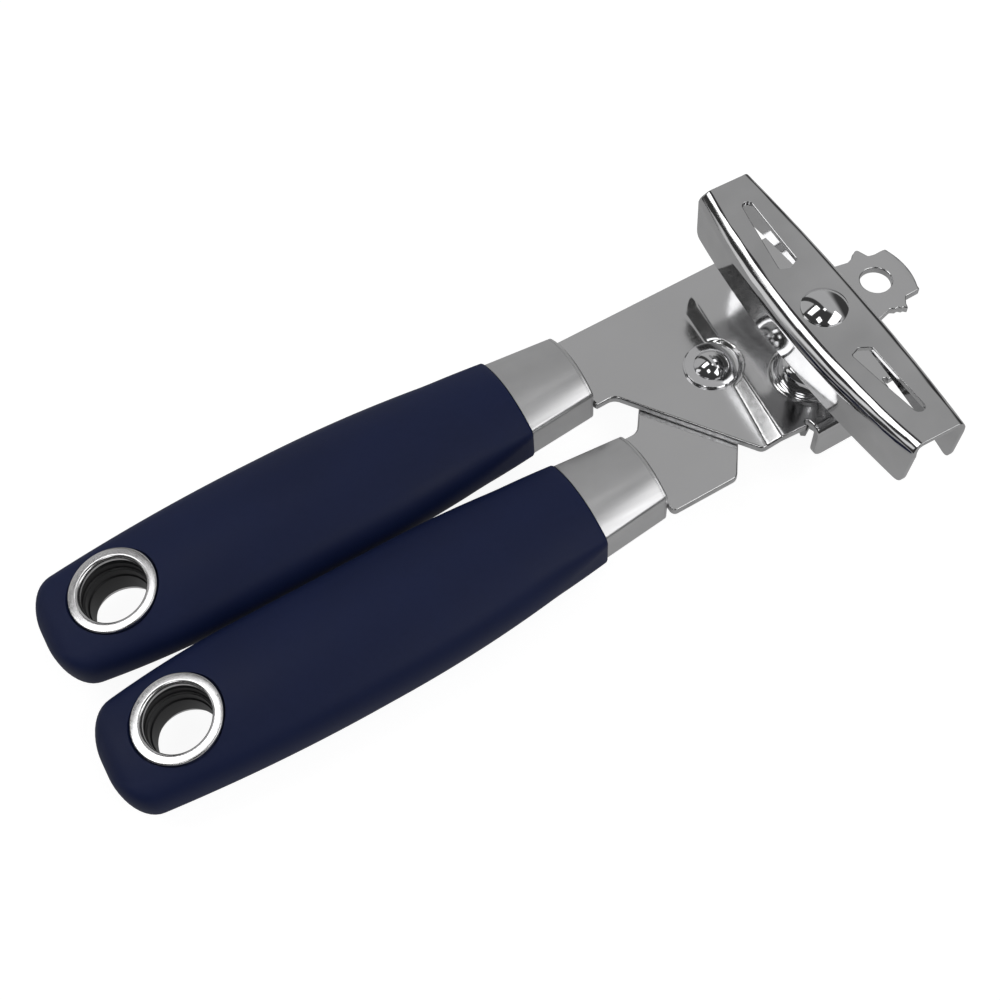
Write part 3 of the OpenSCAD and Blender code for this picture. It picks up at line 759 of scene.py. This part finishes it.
def slot_outline(sign):
    out = arc(13.5, 1.7, 0.6, 80, 170, 4) + arc(12.9, 0.2, 0.6, 170, 190, 2)
    out += arc(13.9, -1.7, 0.6, 195, 275, 4) + [(22, -2.25)] + arc(30.7, -1.0, 1.15, -88, 78, 10)
    return [(sign * u, s) for u, s in out]


def turning_key():
    holes = [slot_outline(1), slot_outline(-1), circle(0, 0, KEY_HOLE_R, 40)]
    bm = sheet_bm(key_outline(), holes, KEY_T, KEY_EDGE_ROUND)
    cut(bm, "x", steps(-38, 38, 0.8))
    cut(bm, "y", [side * s for s in steps(0.5, 19.5, 0.5) for side in (1, -1)])
    for v in bm.verts:
        v.co = TURN @ key_point(v.co.x, v.co.y, -v.co.z)
    finish_mesh(bm, "turning_key_pressing", key_steel, "key_drive", ["turning_key"],
                sharp=40)


turning_key()

# ---------------------------------------------------------------- pivot, shaft and bushing
PIVOT = (0, 0, 0)
SHAFT = (drive.x, drive.y, 0)


def dome(r, h, z, n=14):
    """A round cap of radius r and height h on z, as profile points after the first."""
    big = (r * r + h * h) / (2 * h)
    out = []
    for i in range(1, n + 1):
        x = r * math.cos(math.pi / 2 * i / n)
        out.append((x, z + math.sqrt(big * big - x ** 2) - big + h))
    return out


def pivot():
    low, high = level("pivot_rivet")
    washer_top = level("pivot_washer")[1]
    back_top = level("pivot_back_washer")[0]
    head = washer_top + 0.2
    rivet = [(0, low), (3.4, low), (3.7, low + 0.3), (3.7, back_top), (2.99, back_top),
             (2.99, washer_top), (4.0, washer_top), (4.0, head)] + dome(4.0, high - head, head)
    lathe("pivot_rivet_turned", rivet, PIVOT, rivet_steel, "front_arm", ["pivot_rivet"])
    washer = [(3.01, 0.02), (6.4, 0.02), (6.4, washer_top - 0.25), (6.1, washer_top - 0.02),
              (3.01, washer_top - 0.02)]
    lathe("pivot_washer_dished", washer, PIVOT, rivet_steel, "front_arm",
          ["pivot_washer"], closed=True)


def drive_shaft():
    low, high = level("drive_shaft")
    wheel = level("feed_wheel")[0] - 0.03
    neck, under, head = KEY_TOP - 1.35, KEY_TOP + 0.03, KEY_TOP + 0.3
    shaft = [(0, low), (4.2, low), (4.6, low + 0.4), (4.6, wheel), (3.19, wheel), (3.19, neck),
             (2.98, neck), (2.98, under), (5.0, under), (5.0, head)] + dome(5.0, high - head, head)
    lathe("drive_shaft_turned", shaft, SHAFT, rivet_steel, "key_drive", ["drive_shaft"])


def bushing():
    """The bushing with its rounded shoulder, and the washer under it."""
    low, high = level("shaft_bushing")
    shelf, shoulder = SEAT_Z + 0.62, SEAT_Z + 1.1
    bulge = [(4.9 + 2.3 * math.cos(math.radians(a)),
              shoulder + (high - shoulder) * math.sin(math.radians(a))) for a in range(0, 91, 9)]
    profile = [(3.25, low), (4.98, low), (4.98, shelf), (7.2, shelf)] + bulge + [(3.25, high)]
    lathe("shaft_bushing_turned", profile, SHAFT, rivet_steel, "front_arm",
          ["shaft_bushing"], r=0.2, closed=True)
    washer = [(5.0, SEAT_Z + 0.01), (8.4, SEAT_Z + 0.01), (8.4, SEAT_Z + 0.45),
              (8.1, SEAT_Z + 0.6), (5.0, SEAT_Z + 0.6)]
    lathe("shaft_washer_turned", washer, SHAFT, rivet_steel, "front_arm",
          ["shaft_washer"], closed=True)


def key_spacer():
    low, high = level("key_spacer")
    spacer = [(3.21, low), (4.4, low), (4.4, low + 1.2), (4.1, low + 1.6), (4.1, high - 2.2),
              (4.4, high - 1.8), (4.4, high), (3.21, high)]
    lathe("key_spacer_turned", spacer, SHAFT, rivet_steel, "key_drive", ["key_spacer"],
          closed=True)


pivot()
drive_shaft()
bushing()
key_spacer()

# ---------------------------------------------------------------- CAD nodes that stay
kept = {"drive_gear": gear_steel, "cutter_gear": gear_steel, "feed_wheel": wheel_steel,
        "cutter_wheel": wheel_steel, "cutter_stud": rivet_steel, "cutter_washer": rivet_steel,
        "gear_spacer": rivet_steel, "pivot_back_washer": rivet_steel, "front_core": black,
        "rear_core": black}
for name, material in kept.items():
    ob = nodes[name]
    for ms in ob.material_slots:
        ms.material = material
    if "core" not in name:
        weld = ob.modifiers.new("weld", "WELD")
        weld.merge_threshold = 0.000002
        bev = ob.modifiers.new("edges", "BEVEL")
        bev.width = 0.00012
        bev.segments = 2
        bev.limit_method = "ANGLE"
        bev.angle_limit = math.radians(32)

# ---------------------------------------------------------------- stage
FLOOR_GLOW, FLOOR_EXTRA = 0.30, 0.62
BACKGROUND = 0.9
GREY_LIGHT, DARK_LIGHT, WHITE_LIGHT = 0.42, 0.05, 2.8

bpy.ops.mesh.primitive_plane_add(size=6, location=(0, 0, floor_z))
floor = bpy.context.object
floor.name = "floor"
fm, nt, sh = new_material("floor_paper")
sh.inputs["Base Color"].default_value = (0.25, 0.25, 0.25, 1)
sh.inputs["Roughness"].default_value = 0.9
sh.inputs["Specular IOR Level"].default_value = 0.1
glow = put(nt, "ShaderNodeEmission")
glow.inputs["Color"].default_value = (1, 1, 1, 1)
# the camera sees the paper brighter than reflections do
seen = put(nt, "ShaderNodeLightPath").outputs["Is Camera Ray"]
power = math_node(nt, "MULTIPLY_ADD", seen, FLOOR_EXTRA, FLOOR_GLOW)
nt.links.new(power, glow.inputs["Strength"])
add = put(nt, "ShaderNodeAddShader")
nt.links.new(sh.outputs[0], add.inputs[0])
nt.links.new(glow.outputs[0], add.inputs[1])
nt.links.new(add.outputs[0], nt.nodes["Material Output"].inputs["Surface"])
floor.data.materials.append(fm)

world = bpy.data.worlds.new("studio")
bpy.context.scene.world = world
world.use_nodes = True
wt = world.node_tree
axes = put(wt, "ShaderNodeSeparateXYZ")
wt.links.new(put(wt, "ShaderNodeTexCoord").outputs["Generated"], axes.inputs[0])
east, north = axes.outputs["X"], axes.outputs["Y"]


def step_up(fac, a, b, low=0.0, high=1.0):
    """Eases from low at a to high at b."""
    n = put(wt, "ShaderNodeMapRange", interpolation_type="SMOOTHSTEP")
    wt.links.new(fac, n.inputs["Value"])
    n.inputs["From Min"].default_value = a
    n.inputs["From Max"].default_value = b
    n.inputs["To Min"].default_value = low
    n.inputs["To Max"].default_value = high
    return n.outputs["Result"]


def times(a, b):
    return math_node(wt, "MULTIPLY", a, b)


def plus(a, b):
    return math_node(wt, "ADD", a, b)


def band(fac, a, b, c, d):
    """1 from b to c, easing to 0 at a and at d."""
    return times(step_up(fac, a, b), step_up(fac, c, d, 1.0, 0.0))


def mixed_axes(kx, ky):
    """kx * east + ky * north of a direction."""
    return math_node(wt, "MULTIPLY_ADD", north, ky, times(east, kx))


# Reflections see darkness but for five soft panels, set by the east and north parts of a
# direction: grey ones over the right and at the back left, a white one high on the left, a
# weaker white one low on the left, and a small bright one high on the near left.
right_panel = times(band(east, 0.13, 0.19, 0.66, 0.86), step_up(mixed_axes(1.5, 1.0), 0.05, 0.30))
left_panel = times(band(east, -0.78, -0.60, -0.07, -0.03), step_up(north, 0.58, 0.64))
white_top = step_up(mixed_axes(-0.05, 1.0), 0.498, 0.508, 1.0, 0.0)
white_panel = times(band(east, -0.59, -0.55, -0.07, -0.03),
                    times(step_up(north, 0.18, 0.26), white_top))
low_left = times(band(east, -0.90, -0.86, -0.78, -0.74), band(north, 0.25, 0.32, 0.56, 0.62))
near_left = times(band(east, -0.56, -0.52, -0.36, -0.32), band(north, -0.40, -0.36, -0.14, -0.10))
greys = plus(plus(right_panel, left_panel), times(near_left, 7.0))
whites = plus(white_panel, times(low_left, 0.35))
grey = math_node(wt, "MULTIPLY_ADD", greys, GREY_LIGHT, DARK_LIGHT)
total = math_node(wt, "MULTIPLY_ADD", whites, WHITE_LIGHT, grey)
# the camera itself sees a plain background
shown = put(wt, "ShaderNodeMix", data_type="FLOAT")
wt.links.new(put(wt, "ShaderNodeLightPath").outputs["Is Camera Ray"], shown.inputs["Factor"])
wt.links.new(total, shown.inputs["A"])
shown.inputs["B"].default_value = BACKGROUND
wt.nodes["Background"].inputs["Color"].default_value = (1, 1, 1, 1)
wt.links.new(shown.outputs["Result"], wt.nodes["Background"].inputs["Strength"])


def softbox(name, direction, distance, size, radiance):
    """A rectangular light at distance from the object, facing it."""
    li = bpy.data.lights.new(name, "AREA")
    li.shape = "RECTANGLE"
    li.size, li.size_y = size
    li.energy = radiance * math.pi * size[0] * size[1]
    ob = bpy.data.objects.new(name, li)
    target = Vector((0, 0, 0.01))
    ob.location = target + Vector(direction).normalized() * distance
    ob.rotation_euler = (target - ob.location).to_track_quat("-Z", "Y").to_euler()
    bpy.context.scene.collection.objects.link(ob)


softbox("near_box", (0.36, -0.58, 0.73), 1.0, (0.80, 0.44), 2.0)
softbox("top_box", (0.18, 0.04, 0.98), 1.0, (0.14, 0.12), 1.8)

# ---------------------------------------------------------------- camera
# Its place, in millimetres from ORIGIN, and its directions were solved from the photograph.
CAMERA_PLACE = (-123.429, -143.658, 261.255)
CAMERA_RIGHT = (0.86264, -0.50308, -0.05256)
CAMERA_LOOK = (0.21464, 0.45816, -0.86256)

cam = bpy.data.cameras.new("camera")
cam.sensor_width = 36
cam.lens = 50.4
cam.clip_start = 0.01
cam_ob = bpy.data.objects.new("camera", cam)
bpy.context.scene.collection.objects.link(cam_ob)
look = Vector(CAMERA_LOOK).normalized()
up = Vector(CAMERA_RIGHT).normalized().cross(look).normalized()
right = look.cross(up)
place = ORIGIN + Vector(CAMERA_PLACE) * MM
cam_ob.matrix_world = Matrix(((right.x, up.x, -look.x, place.x), (right.y, up.y, -look.y, place.y),
                              (right.z, up.z, -look.z, place.z), (0, 0, 0, 1)))
bpy.context.scene.camera = cam_ob
bpy.context.scene.view_settings.view_transform = "Standard"
bpy.context.scene.view_settings.look = "None"
